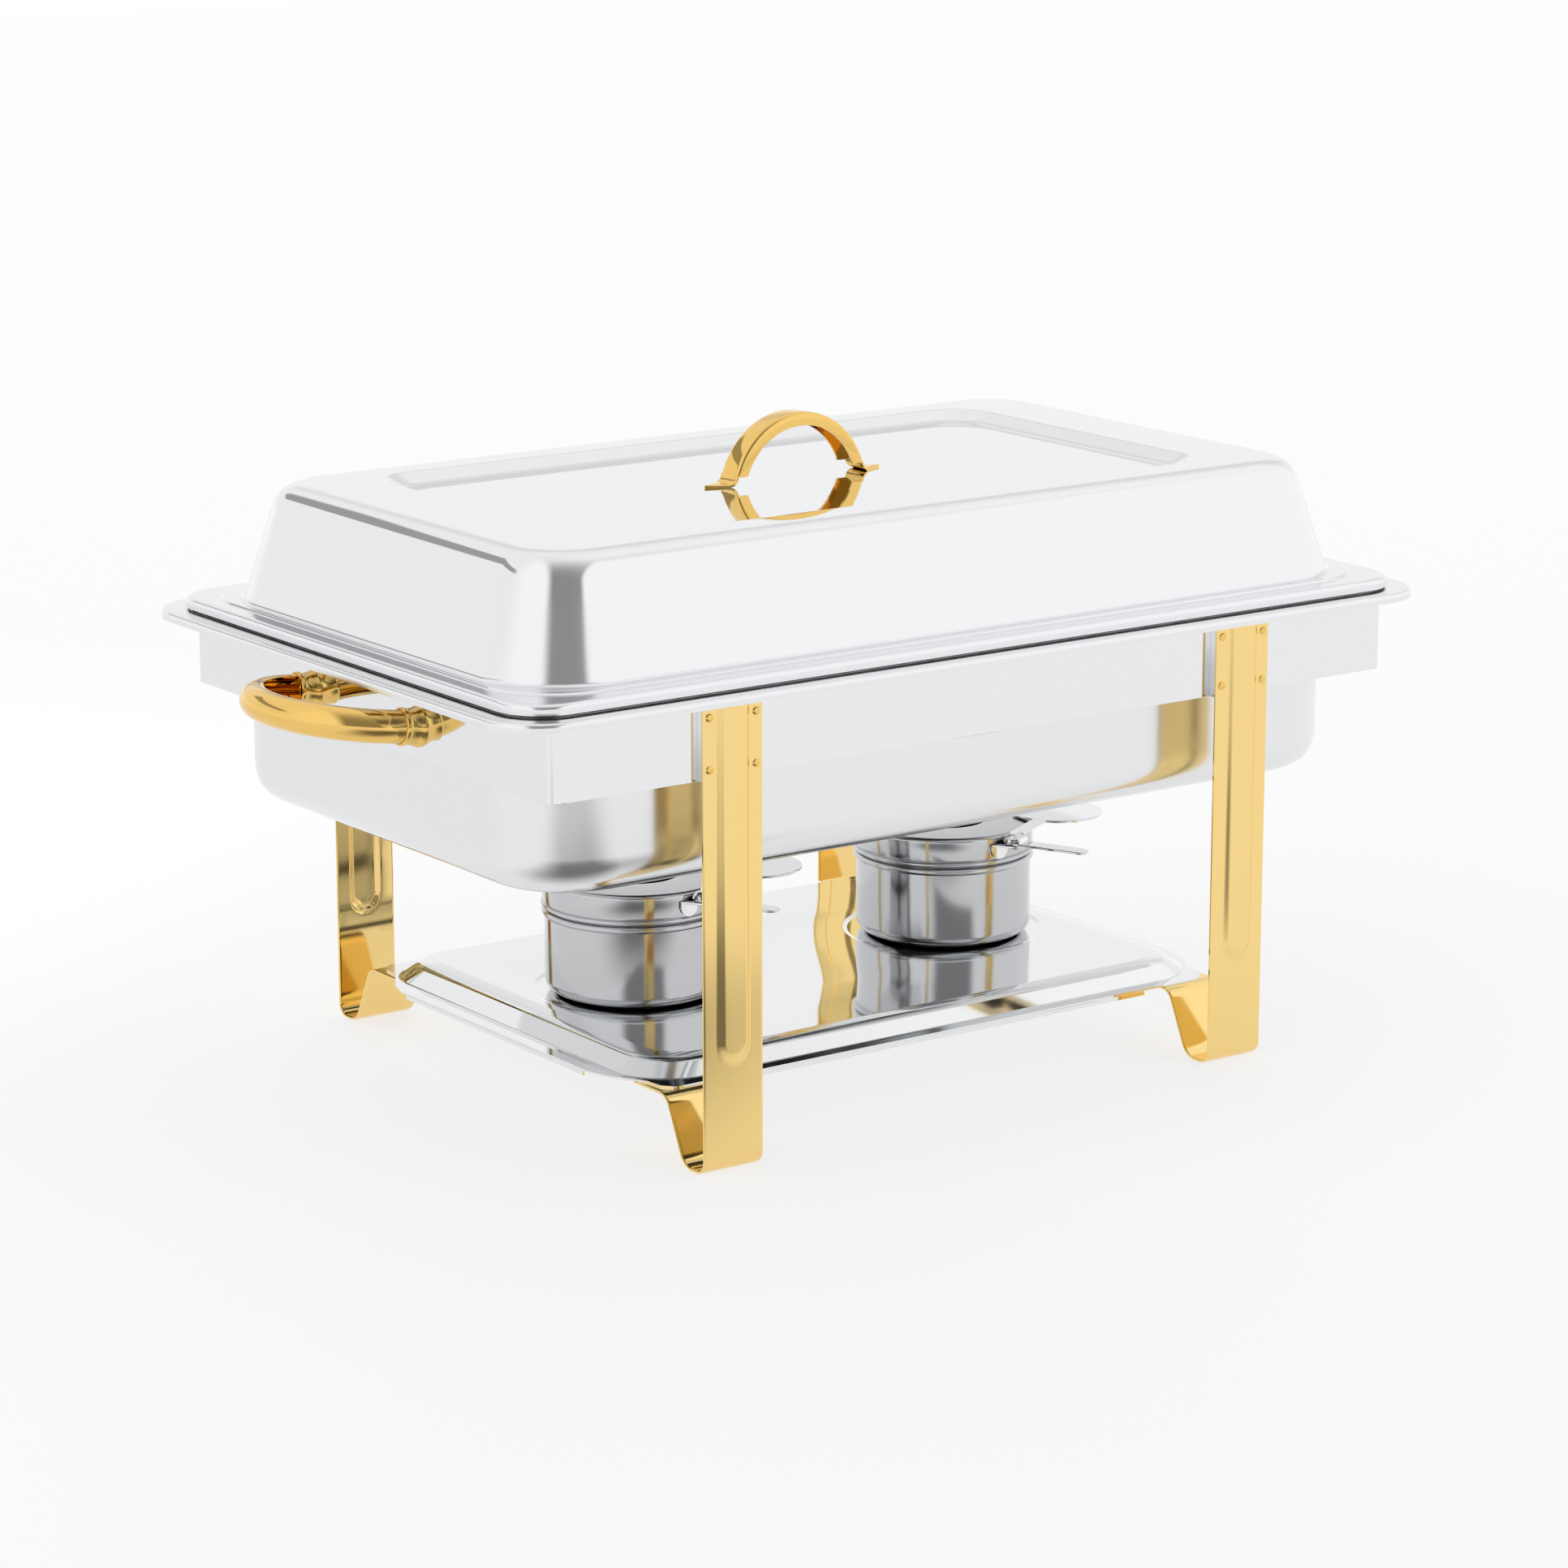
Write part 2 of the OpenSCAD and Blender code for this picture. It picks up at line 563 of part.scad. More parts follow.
lid_dome();
lid_handle();
food_pan();
water_pan();
frame_band();
leg(-1, -1);  // leg_front_left
leg(1, -1);  // leg_front_right
leg(-1, 1);  // leg_back_left
leg(1, 1);  // leg_back_right
leg_rivets(-1, -1);  // leg_rivets_front_left
leg_rivets(1, -1);  // leg_rivets_front_right
leg_rivets(-1, 1);  // leg_rivets_back_left
leg_rivets(1, 1);  // leg_rivets_back_right
side_handle(-1);  // side_handle_left
side_handle(1);  // side_handle_right
handle_ferrules(-1);  // handle_ferrules_left
handle_ferrules(1);  // handle_ferrules_right
burner_shelf();
burner_pot(-1);  // burner_pot_left
burner_pot(1);  // burner_pot_right
burner_cover(-1);  // burner_cover_left
burner_cover(1);  // burner_cover_right
snuffer(-1);  // snuffer_left
snuffer(1);  // snuffer_right
snuffer_bracket(-1);  // snuffer_bracket_left
snuffer_bracket(1);  // snuffer_bracket_right
snuffer_pin(-1);  // snuffer_pin_left
snuffer_pin(1);  // snuffer_pin_right
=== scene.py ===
"""A full-size buffet server in polished steel and gold-coloured plating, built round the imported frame."""
import math

import bmesh
import bpy
import numpy as np
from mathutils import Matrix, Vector
from mathutils.geometry import tessellate_polygon


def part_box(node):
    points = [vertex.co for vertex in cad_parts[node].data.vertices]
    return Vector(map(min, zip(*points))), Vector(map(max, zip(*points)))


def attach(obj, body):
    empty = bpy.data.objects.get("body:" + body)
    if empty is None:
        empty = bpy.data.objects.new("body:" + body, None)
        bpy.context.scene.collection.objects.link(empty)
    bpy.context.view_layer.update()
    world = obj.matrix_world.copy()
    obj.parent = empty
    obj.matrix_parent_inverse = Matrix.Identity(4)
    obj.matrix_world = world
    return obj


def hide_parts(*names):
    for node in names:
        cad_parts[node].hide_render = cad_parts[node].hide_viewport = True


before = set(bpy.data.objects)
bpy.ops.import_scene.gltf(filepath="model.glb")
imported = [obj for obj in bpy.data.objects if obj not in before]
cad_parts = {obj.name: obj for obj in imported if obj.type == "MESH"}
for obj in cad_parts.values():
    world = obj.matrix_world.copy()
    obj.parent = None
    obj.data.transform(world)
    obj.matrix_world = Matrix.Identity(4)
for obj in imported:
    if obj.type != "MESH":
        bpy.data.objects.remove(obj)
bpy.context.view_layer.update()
MM = 0.001


def node_box(name):
    """Lowest and highest corners of a CAD node, in millimetres."""
    low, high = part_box(name)
    return np.array(low) / MM, np.array(high) / MM


# ---------------------------------------------------------------- camera

AZIMUTH, ELEVATION = -35.7, 13.6  # degrees; azimuth 0 looks at the front
DISTANCE = 2.521
AIM = Vector((-0.0036, 0.0026, 0.1343))
LENS, SENSOR = 112.3, 36  # millimetres


def place_camera():
    """A long lens a little above the rim, looking past the front left leg."""
    data = bpy.data.cameras.new("camera")
    data.sensor_width = SENSOR
    data.lens = LENS
    data.clip_end = 30
    camera = bpy.data.objects.new("camera", data)
    a = math.radians(AZIMUTH)
    e = math.radians(ELEVATION)
    back = Vector((math.sin(a) * math.cos(e), -math.cos(a) * math.cos(e), math.sin(e)))
    camera.location = AIM + back * DISTANCE
    camera.rotation_euler = back.to_track_quat("Z", "Y").to_euler()
    bpy.context.scene.collection.objects.link(camera)
    bpy.context.scene.camera = camera


# ---------------------------------------------------------------- materials

def linear(code):
    """sRGB hex to linear RGBA."""
    parts = [int(code[i:i + 2], 16) / 255 for i in (1, 3, 5)]
    return [c / 12.92 if c <= 0.04045 else ((c + 0.055) / 1.055) ** 2.4 for c in parts] + [1.0]


def add(tree, kind, settings=None, links=None):
    """Adds a node, sets its properties or inputs, and links its inputs from other nodes' outputs."""
    made = tree.nodes.new(kind)
    for key, value in (settings or {}).items():
        if key in made.inputs:
            made.inputs[key].default_value = value
        else:
            setattr(made, key, value)
    for key, (source, output) in (links or {}).items():
        tree.links.new(source.outputs[output], made.inputs[key])
    return made


def soften(tree, value, start, end, low=0.0, high=1.0):
    """Smooth step of a value, from low at start to high at end."""
    step = add(tree, "ShaderNodeMapRange",
               {"interpolation_type": "SMOOTHSTEP", "From Min": start, "From Max": end,
                "To Min": low, "To Max": high},
               {"Value": value})
    return step, "Result"


def times(tree, *factors):
    """Product of several outputs, each a (node, output) pair."""
    product = factors[0]
    for factor in factors[1:]:
        step = add(tree, "ShaderNodeMath", {"operation": "MULTIPLY"})
        tree.links.new(product[0].outputs[product[1]], step.inputs[0])
        tree.links.new(factor[0].outputs[factor[1]], step.inputs[1])
        product = (step, "Value")
    return product


def measured(tree, vector, direction):
    """How far a vector reaches along a direction."""
    dot = add(tree, "ShaderNodeVectorMath", {"operation": "DOT_PRODUCT"})
    tree.links.new(vector[0].outputs[vector[1]], dot.inputs[0])
    dot.inputs[1].default_value = direction
    return dot, "Value"


CLOUD_MM = 90  # size of the patches where the polish is a little better or worse
WAVE_MM = 60  # size of the slow waves that pressing leaves in a sheet
RING_STRETCH = 14.0  # how much longer than high the marks of a spinning tool are


def metal(name, colour, roughness, spread, ripple=0.0, grain_mm=None, grain=0.0, buffed=None):
    """A polished metal: slow waves left in the sheet by pressing, and a roughness that varies a little.
    buffed is (height from, height to, share of the roughness left above it), in millimetres."""
    made = bpy.data.materials.new(name)
    made.use_nodes = True
    tree = made.node_tree
    tree.nodes.clear()
    where = add(tree, "ShaderNodeTexCoord")
    cloud = add(tree, "ShaderNodeTexNoise", {"Scale": 1 / (CLOUD_MM * MM), "Detail": 4.0},
                {"Vector": (where, "Object")})
    spoilt = add(tree, "ShaderNodeMapRange",
                 {"To Min": max(0.0, roughness - spread), "To Max": roughness + spread},
                 {"Value": (cloud, "Fac")})
    rough = spoilt, "Result"
    if buffed:
        low, high, share = buffed
        height = add(tree, "ShaderNodeSeparateXYZ", {}, {"Vector": (where, "Object")})
        left = add(tree, "ShaderNodeMapRange",
                   {"From Min": low * MM, "From Max": high * MM, "To Min": 1.0, "To Max": share},
                   {"Value": (height, "Z")})
        rough = times(tree, rough, (left, "Result"))
    wave = add(tree, "ShaderNodeTexNoise", {"Scale": 1 / (WAVE_MM * MM), "Detail": 1.0},
               {"Vector": (where, "Object")})
    bump = add(tree, "ShaderNodeBump", {"Strength": 1.0, "Distance": ripple * MM}, {"Height": (wave, "Fac")})
    if grain_mm:
        lay = add(tree, "ShaderNodeMapping", {"Scale": (1.0, 1.0, RING_STRETCH)},
                  {"Vector": (where, "Object")})
        fine = add(tree, "ShaderNodeTexNoise", {"Scale": 1 / (grain_mm * MM * RING_STRETCH), "Detail": 2.0},
                   {"Vector": (lay, "Vector")})
        bump = add(tree, "ShaderNodeBump", {"Strength": 1.0, "Distance": grain * MM},
                   {"Height": (fine, "Fac"), "Normal": (bump, "Normal")})
    shader = add(tree, "ShaderNodeBsdfPrincipled", {"Base Color": linear(colour), "Metallic": 1.0},
                 {"Roughness": rough, "Normal": (bump, "Normal")})
    add(tree, "ShaderNodeOutputMaterial", links={"Surface": (shader, "BSDF")})
    return made


def matt(name, colour, roughness):
    """A plain matt surface, for the floor."""
    made = bpy.data.materials.new(name)
    made.use_nodes = True
    shader = made.node_tree.nodes["Principled BSDF"]
    shader.inputs["Base Color"].default_value = linear(colour)
    shader.inputs["Roughness"].default_value = roughness
    return made


# Stainless steel, buffed to a mirror: bright, cool and almost without waves
MIRROR_STEEL = metal("buffed_stainless_steel", "#EBECED", 0.05, 0.02)
# The same steel on the pans, drawn deep, so it mirrors a little less sharply
DRAWN_STEEL = metal("drawn_stainless_steel", "#E9EAEB", 0.17, 0.03, ripple=0.008)
# The lid is drawn the same way and its top is buffed again, so only the top mirrors the handle sharply
LID_STEEL = metal("buffed_drawn_stainless_steel", "#EAEBED", 0.15, 0.03, ripple=0.004,
                  buffed=(274, 286, 0.25))
# Spun stainless steel of the burner pots, its colour darkened below the other steels as painted shade,
# standing in for the shade and dark reflections the pots show under the pans; rings left by the tool stretch
# every reflection upwards
SPUN_STEEL_PAINTED_SHADE = metal("spun_stainless_steel_painted_shade", "#C6C7C9", 0.13, 0.03, grain_mm=0.5, grain=0.006)
# Titanium nitride plating on stamped steel: a pale, warm gold that turns brown where it mirrors shade
GOLD_PLATE = metal("gold_titanium_plating", "#F8D88F", 0.10, 0.03, ripple=0.008)
# The same plating on the drawn handles, polished higher and a little deeper in colour
GOLD_POLISH = metal("gold_plating_high_polish", "#EFC671", 0.05, 0.02, ripple=0.004)


# ---------------------------------------------------------------- mesh making

def piece(name, points, faces, material, body, slot, stands_for=(), sharp=38):
    """Makes a mesh piece from points in millimetres, shades it, hangs it on its body's empty and hides the
    CAD nodes it stands for.
    """
    mesh = bpy.data.meshes.new(name)
    places = [tuple(float(c) * MM for c in p) for p in points]
    mesh.from_pydata(places, [], [tuple(map(int, f)) for f in faces])
    shape = bmesh.new()
    shape.from_mesh(mesh)
    bmesh.ops.remove_doubles(shape, verts=shape.verts, dist=1e-7)
    bmesh.ops.recalc_face_normals(shape, faces=shape.faces)
    shape.to_mesh(mesh)
    shape.free()
    made = bpy.data.objects.new(name, mesh)
    bpy.context.scene.collection.objects.link(made)
    mesh.shade_smooth()
    mesh.set_sharp_from_angle(angle=math.radians(sharp))
    made.data.materials.append(material)
    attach(made, body)
    for node in stands_for:
        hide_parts(node)
    return made


def merge(*parts):
    """Joins (points, faces) pairs into one."""
    points, faces, start = [], [], 0
    for part_points, part_faces in parts:
        points.extend(part_points)
        faces.extend([[i + start for i in f] for f in part_faces])
        start += len(part_points)
    return points, faces


def moved(part, shift=(0, 0, 0), turn=0.0):
    """A part turned about Z by degrees and shifted."""
    c = math.cos(math.radians(turn))
    s = math.sin(math.radians(turn))
    p = np.array(part[0], float)
    p = np.stack([c * p[:, 0] - s * p[:, 1], s * p[:, 0] + c * p[:, 1], p[:, 2]], 1) + shift
    return p.tolist(), part[1]


def arc(cx, cy, r, a0, a1, n):
    """Points along an arc, angles in degrees."""
    angles = np.radians(np.linspace(a0, a1, n + 1))
    return [(cx + r * math.cos(a), cy + r * math.sin(a)) for a in angles]


def circle(cx, cy, r, n=64):
    """Points round a circle."""
    angles = [2 * math.pi * k / n for k in range(n)]
    return [(cx + r * math.cos(a), cy + r * math.sin(a)) for a in angles]


def outline(half_x, half_y, r, n=16):
    """A rounded rectangle, anticlockwise, with n + 1 points to each corner."""
    r = max(r, 0.05)
    points = []
    for sx, sy, a in ((1, 1, 0), (-1, 1, 90), (-1, -1, 180), (1, -1, 270)):
        points += arc(sx * (half_x - r), sy * (half_y - r), r, a, a + 90, n)
    return points


def loft(rings, closed=False, cap_start=True, cap_end=True):
    """Quads between rings of equal length; capped at its ends unless it closes on itself."""
    n = len(rings[0])
    points = [p for ring in rings for p in ring]
    faces = []
    last = len(rings) if closed else len(rings) - 1
    for i in range(last):
        a, b = i * n, ((i + 1) % len(rings)) * n
        faces += [[a + k, a + (k + 1) % n, b + (k + 1) % n, b + k] for k in range(n)]
    if not closed and cap_start:
        faces.append(list(range(n))[::-1])
    if not closed and cap_end:
        faces.append([(len(rings) - 1) * n + k for k in range(n)])
    return points, faces


def lathe(profile, steps=128, closed=True):
    """Turns a profile of (radius, height) about Z. Its ends may touch the axis."""
    rings = [[(x, y, z) for x, y in circle(0, 0, max(r, 1e-4), steps)] for r, z in profile]
    return loft(rings, closed=closed)


def pressed_shell(path, thick):
    """A pressed sheet. Its upper side follows rings of (half x, half y, corner radius, height) from the
    edge to the middle."""
    path = np.array(path, float)
    run = np.gradient(path[:, [0, 3]], axis=0)
    run /= np.maximum(np.linalg.norm(run, axis=1, keepdims=True), 1e-9)
    under = path.copy()
    under[:, :3] -= thick * run[:, 1:]
    under[:, 3] += thick * run[:, 0]
    sizes = list(under[::-1]) + list(path)
    return loft([[(x, y, z) for x, y in outline(hx, hy, r)] for hx, hy, r, z in sizes])


def rounded(points, radii, n=6):
    """Rounds the corners of an open polyline of (x, y) points."""
    out = [tuple(points[0])]
    for a, b, c, r in zip(points[:-2], points[1:-1], points[2:], radii):
        a, b, c = np.array(a, float), np.array(b, float), np.array(c, float)
        u = (a - b) / np.linalg.norm(a - b)
        v = (c - b) / np.linalg.norm(c - b)
        turn = math.acos(max(-1, min(1, float(u @ v))))
        if r <= 0 or turn > math.pi - 1e-3:
            out.append(tuple(b))
            continue
        room = 0.49 * min(np.linalg.norm(a - b), np.linalg.norm(c - b))
        cut = min(r / math.tan(turn / 2), room)
        start = b + u * cut
        end = b + v * cut
        for t in np.linspace(0, 1, n + 1):
            out.append(tuple((1 - t) ** 2 * start + 2 * t * (1 - t) * b + t * t * end))
    out.append(tuple(points[-1]))
    return out


def plate(edge, low, high, bevel=0.25, holes=()):
    """A flat plate with a softened rim. edge and holes are outlines in the plane."""
    def inward(ring, by):
        """The outline drawn in by a distance."""
        ahead = np.roll(ring, -1, 0) - np.roll(ring, 1, 0)
        ahead /= np.maximum(np.linalg.norm(ahead, axis=1, keepdims=True), 1e-9)
        area = np.sum(ring[:, 0] * np.roll(ring[:, 1], -1) - np.roll(ring[:, 0], -1) * ring[:, 1])
        side = np.stack([-ahead[:, 1], ahead[:, 0]], 1) * (1 if area > 0 else -1)
        return ring + side * by

    points, faces = [], []
    loops = [(np.array(edge, float), 1)] + [(np.array(h, float), -1) for h in holes]
    tops, bottoms = [], []
    for ring, sign in loops:
        inner = inward(ring, bevel * sign)
        levels = [(inner, low), (ring, low + bevel), (ring, high - bevel), (inner, high)]
        start = len(points)
        n = len(ring)
        for xy, z in levels:
            points += [(x, y, z) for x, y in xy]
        for i in range(3):
            a, b = start + i * n, start + (i + 1) * n
            faces += [[a + k, a + (k + 1) % n, b + (k + 1) % n, b + k] for k in range(n)]
        bottoms.append([start + k for k in range(n)])
        tops.append([start + 3 * n + k for k in range(n)])
    for group in (tops, bottoms):
        order = [i for ring in group for i in ring]
        rings = [[Vector(points[i]) for i in ring] for ring in group]
        for tri in tessellate_polygon(rings):
            faces.append([order[i] for i in tri])
    return points, faces


# ---------------------------------------------------------------- lid and pans

LID_LOW, LID_HIGH = node_box("lid_dome")
RIM_LOW, RIM_HIGH = node_box("water_pan")
FOOD_LOW, FOOD_HIGH = node_box("food_pan")
SHEET = 1.0  # thickness of the lid's and pans' steel
DOME_H = 60.0  # height of the dome above its flange
PANEL_X, PANEL_Y, PANEL_R, PANEL_DEEP = 185.0, 100.0, 20.0, 5.0  # sunk panel: half sizes, corner, depth
PANEL_Z = LID_HIGH[2] - PANEL_DEEP


def flared(well, rim, out, z):
    """A ring of a pressed shell, out beyond the well's (half x, half y, corner). On the well's outer side it
    spreads towards the rim's (half x, half y, corner); on the inner side it shrinks evenly."""
    if out > 0:
        t = out / (rim[0] - well[0])
        return [w + t * (r - w) for w, r in zip(well, rim)] + [z]
    return [well[0] + out, well[1] + out, well[2] + out, z]


def lid_dome():
    """Deep-drawn dome with a soft top edge and a sunk panel, on a flat flange with a raised step."""
    foot = (254.0, 148.0, 43.0)
    rim = (LID_HIGH[0], LID_HIGH[1], 25.0)
    flange_z = LID_HIGH[2] - DOME_H
    flange = rim[0] - foot[0]
    lean = 0.283  # inward lean of the wall for each millimetre of height
    tighten = 0.72  # how much the corner radius shrinks for each millimetre of lean
    step = 1.0  # height of the raised step round the foot
    side = rounded([(flange, LID_LOW[2] - flange_z), (flange, 0), (6.0, 0), (5.2, step), (0.4, step),
                    (-lean * DOME_H, DOME_H), (-41.5, DOME_H)],
                   [2.5, 0.8, 0.8, 7.0, 30.0], n=16)
    path = []
    for out, up in side:
        ring = flared(foot, rim, out, flange_z + up)
        if out <= 0:
            ring[2] = foot[2] + out * tighten
        path.append(ring)
    sunk = rounded([(6.0, 0), (4.0, 0), (-6.0, PANEL_DEEP), (-18.0, PANEL_DEEP), (-70.0, PANEL_DEEP)],
                   [4.0, 12.0, 0.0], n=10)
    for out, down in sunk:
        path.append((PANEL_X + out, PANEL_Y + out, max(PANEL_R + out, 4.0), LID_HIGH[2] - down))
    piece("lid_dome_shell", *pressed_shell(path, SHEET), LID_STEEL, "lid", "polished_steel", ["lid_dome"])


def food_pan():
    """Standard food pan: flat rolled rim, nearly upright walls, soft bottom edge."""
    top = FOOD_HIGH[2]
    well = (244.0, 140.0, 41.0)
    rim = (FOOD_HIGH[0], FOOD_HIGH[1], 21.0)
    lip = 8.6  # depth of the turned-down edge
    deep = top - FOOD_LOW[2] - SHEET
    flange = rim[0] - well[0]
    lean = 0.05  # inward lean of the wall for each millimetre of depth
    side = rounded([(flange, -lip), (flange, 0), (0, 0), (-lean * deep, -deep), (-120.0, -deep)],
                   [2.5, 3.0, 15.0], n=8)
    path = []
    for out, up in side:
        ring = flared(well, rim, out, top + up)
        ring[2] = max(ring[2], 4.0)
        path.append(ring)
    piece("food_pan_shell", *pressed_shell(path, SHEET), DRAWN_STEEL,
          "food_pan", "polished_steel", ["food_pan"])


def water_pan():
    """Outer pan: wide rim, a stepped ledge that takes the food pan, and a deep well."""
    hx, hy, top = RIM_HIGH
    ledge = 4.9 - SHEET
    lip = 4.3  # depth of the turned-down edge
    deep = top - RIM_LOW[2] - SHEET
    rim_r, rim_tighten = 31.0, 7.0 / 13.2
    path = []
    rim = rounded([(0, -lip), (0, 0), (-13.0, 0), (-13.4, -ledge), (-16.0, -ledge)], [3.0, 1.5, 1.0])
    for out, up in rim[:-1]:
        path.append((hx + out, hy + out, rim_r + rim_tighten * out, top + up))
    well_x, well_y, well_r = 251.0, 146.7, 46.0
    for out, up in rounded([(3.0, -ledge), (0, -ledge), (0, -deep), (-110.0, -deep)], [2.0, 19.0], n=12):
        path.append((well_x + out, well_y + out, max(well_r + out, 5.0), top + up))
    piece("water_pan_shell", *pressed_shell(path, SHEET), DRAWN_STEEL,
          "water_pan", "polished_steel", ["water_pan"])


# ---------------------------------------------------------------- frame

BAND_LOW, BAND_HIGH = node_box("frame_band")


def frame_band():
    """Flat steel band bent round four tight corners."""
    hx, hy = BAND_HIGH[0], BAND_HIGH[1]
    z0, z1 = BAND_LOW[2], BAND_HIGH[2]
    soft = 0.25
    levels = [(0, z0 + soft), (0, z1 - soft), (soft, z1), (SHEET - soft, z1), (SHEET, z1 - soft),
              (SHEET, z0 + soft), (SHEET - soft, z0), (soft, z0)]
    rings = [[(x, y, z) for x, y in outline(hx - d, hy - d, 3.0 - d, n=10)] for d, z in levels]
    piece("frame_band_strip", *loft(rings, closed=True), MIRROR_STEEL,
          "frame", "polished_steel", ["frame_band"])


LEGS = ("front_left", "front_right", "back_left", "back_right")
LEG_T = 1.4  # thickness of a leg's strap
LEG_RISE = 65.0  # slope of the foot's rear part, in degrees
TAB_R, TAB_Z, TAB_END = 8.0, 33.2, 60.0  # tab under the shelf: bend radius, top, reach inward
RIB_W, RIB_H, RIB_SLOPE, RIB_END = 19.4, 2.2, 3.6, 54.0  # rib: width, height, sloping edge, lower end


def smooth(t):
    """Smooth step from 0 to 1, held between them."""
    t = max(0.0, min(1.0, t))
    return t * t * (3 - 2 * t)


def strap(where):
    """Middle and half width of a leg's strap, its top, and where its flat outer face lies in y."""
    low, high = node_box("leg_" + where)
    outer_y = low[1] + RIB_H if where.startswith("front") else high[1] - RIB_H
    return (low[0] + high[0]) / 2, (high[0] - low[0]) / 2, high[2], outer_y


def leg_line(top):
    """Middle line of a leg's strap, seen from its side: x inward from the outer face, z up."""
    h = LEG_T / 2
    front_r, flat, rear_r = 7.0, 4.0, 11.0
    down = [(h, z) for z in np.linspace(top, front_r, 110)]
    front = arc(front_r, front_r, front_r - h, 180, 270, 12)[1:]
    rear = arc(front_r + flat, rear_r, rear_r - h, 270, 270 + LEG_RISE, 14)
    low = rear[-1]
    tab = TAB_Z - h
    rise = math.radians(LEG_RISE)
    top_z = tab - TAB_R * (1 - math.cos(rise))
    top_x = low[0] + (top_z - low[1]) / math.tan(rise)
    bend = arc(top_x + TAB_R * math.sin(rise), tab - TAB_R, TAB_R, 90 + LEG_RISE, 90, 12)
    return down + front + rear + bend + [(TAB_END, tab)]


def leg(where):
    """A strap with a pressed round-ended rib, bent at its foot and up under the shelf."""
    middle, half, top, outer_y = strap(where)
    line = np.array(leg_line(top))
    run = np.gradient(line, axis=0)
    run /= np.linalg.norm(run, axis=1, keepdims=True)
    out = np.stack([run[:, 1], -run[:, 0]], 1)  # points away from the frame on the upright part
    across = np.linspace(-half, half, 69)
    rib_z = RIB_END + RIB_W / 2
    foot_z = 20  # the strap is upright above this height
    soft, soft_w = 0.25, 0.6  # how much and how far in the long edges are softened
    sign = -1 if outer_y < 0 else 1
    rings = []
    for (x, z), (ox, oz) in zip(line, out):
        upright = x < LEG_T and z > foot_z
        ring = []
        for side in (1, -1):
            for u in across[::side]:
                reach = RIB_W / 2 - (abs(u) if z > rib_z else math.hypot(u, z - rib_z))
                lift = RIB_H * smooth(reach / RIB_SLOPE) if upright else 0.0
                edge = soft * max(0.0, (abs(u) - half + soft_w) / soft_w)
                d = side * (LEG_T / 2 - edge) + lift
                ring.append((middle + u, outer_y - sign * (x + ox * d), z + oz * d))
        rings.append(ring)
    piece("leg_" + where + "_strap", *loft(rings), GOLD_PLATE,
          "frame", "gold_plate", ["leg_" + where], sharp=50)


def leg_spacer(where):
    """Steel plate, riveted between the band and a leg's strap, that fills the gap between them."""
    middle, half, _, outer_y = strap(where)
    inset, gap = 0.3, 0.05
    half -= inset
    ends = (math.copysign(BAND_HIGH[1] + gap, outer_y), math.copysign(abs(outer_y) - LEG_T - gap, outer_y))
    near, far = sorted(ends)
    face = [(middle - half, near), (middle + half, near), (middle + half, far), (middle - half, far)]
    piece("leg_" + where + "_spacer", *plate(face, BAND_LOW[2] + inset, BAND_HIGH[2] - inset, 0.2),
          MIRROR_STEEL, "frame", "polished_steel")


# ---------------------------------------------------------------- handles

HANDLE_TILT = math.radians(6.8)  # the side handles rise outward
HANDLE_Z = 208.0


def tilted(x, z):
    """A point beside the band, turned up with the side handle."""
    c = math.cos(HANDLE_TILT)
    s = math.sin(HANDLE_TILT)
    return x * c - z * s, x * s + z * c


def side_handle(side, direction):
    """Half-round gold channel, open on its inner side, in two turned ferrules."""
    reach, span, straight = 41.9, 49.0, 9.5
    half_h, wall = 8.1, 1.4
    band_x = BAND_HIGH[0]
    outer = arc(0, 0, half_h, -112, 112, 32)
    inner = arc(0, 0, half_h - wall, 108, -108, 28)
    bottom = [((x, -span), (0, -1)) for x in np.linspace(2.6, straight, 6)[:-1]]
    top = [((x, span), (0, 1)) for x in np.linspace(2.6, straight, 6)[:-1]]
    bow = []
    for a in np.radians(np.linspace(-90, 90, 97)):
        c = math.cos(a)
        s = math.sin(a)
        n = np.array([c / reach, s / span])
        bow.append(((straight + reach * c, span * s), tuple(n / np.linalg.norm(n))))
    ux, uz = tilted(0, 1)
    rings = []
    for (x, y), (nx, ny) in bottom + bow + top[::-1]:
        px, pz = tilted(x, 0)
        sx, sz = tilted(nx, 0)
        ring = []
        for a, b in outer + inner:
            x_out = band_x + px + a * sx + b * ux
            ring.append((direction * x_out, y + a * ny, HANDLE_Z + pz + a * sz + b * uz))
        rings.append(ring)
    name = "side_handle_" + side
    piece(name + "_bow", *loft(rings), GOLD_POLISH, "frame", "gold_plate", [name], sharp=45)
    # ferrule: a flange on the band, a slight waist, and a rounded lip round the channel
    profile = [(0.0, -1.5), (9.9, -1.5), (9.9, 0.9), (9.7, 1.4), (9.25, 2.8), (8.95, 4.6), (8.8, 7.2),
               (8.95, 7.8), (9.2, 8.3), (9.3, 8.9), (9.2, 9.5), (8.9, 10.1), (8.5, 10.4), (8.2, 10.3),
               (8.2, 2.2), (0.0, 2.2)]
    points, faces = lathe(profile, 96, closed=False)
    p = np.array(points)
    parts = []
    for y in (-span, span):
        x, z = tilted(p[:, 2], -p[:, 0])
        placed = np.stack([direction * (band_x + np.maximum(x, 0.02)), y + p[:, 1], HANDLE_Z + z], 1)
        parts.append((placed.tolist(), faces))
    piece(name + "_bow_ferrules", *merge(*parts), GOLD_POLISH, "frame", "gold_plate",
          ["handle_ferrules_" + side], sharp=40)


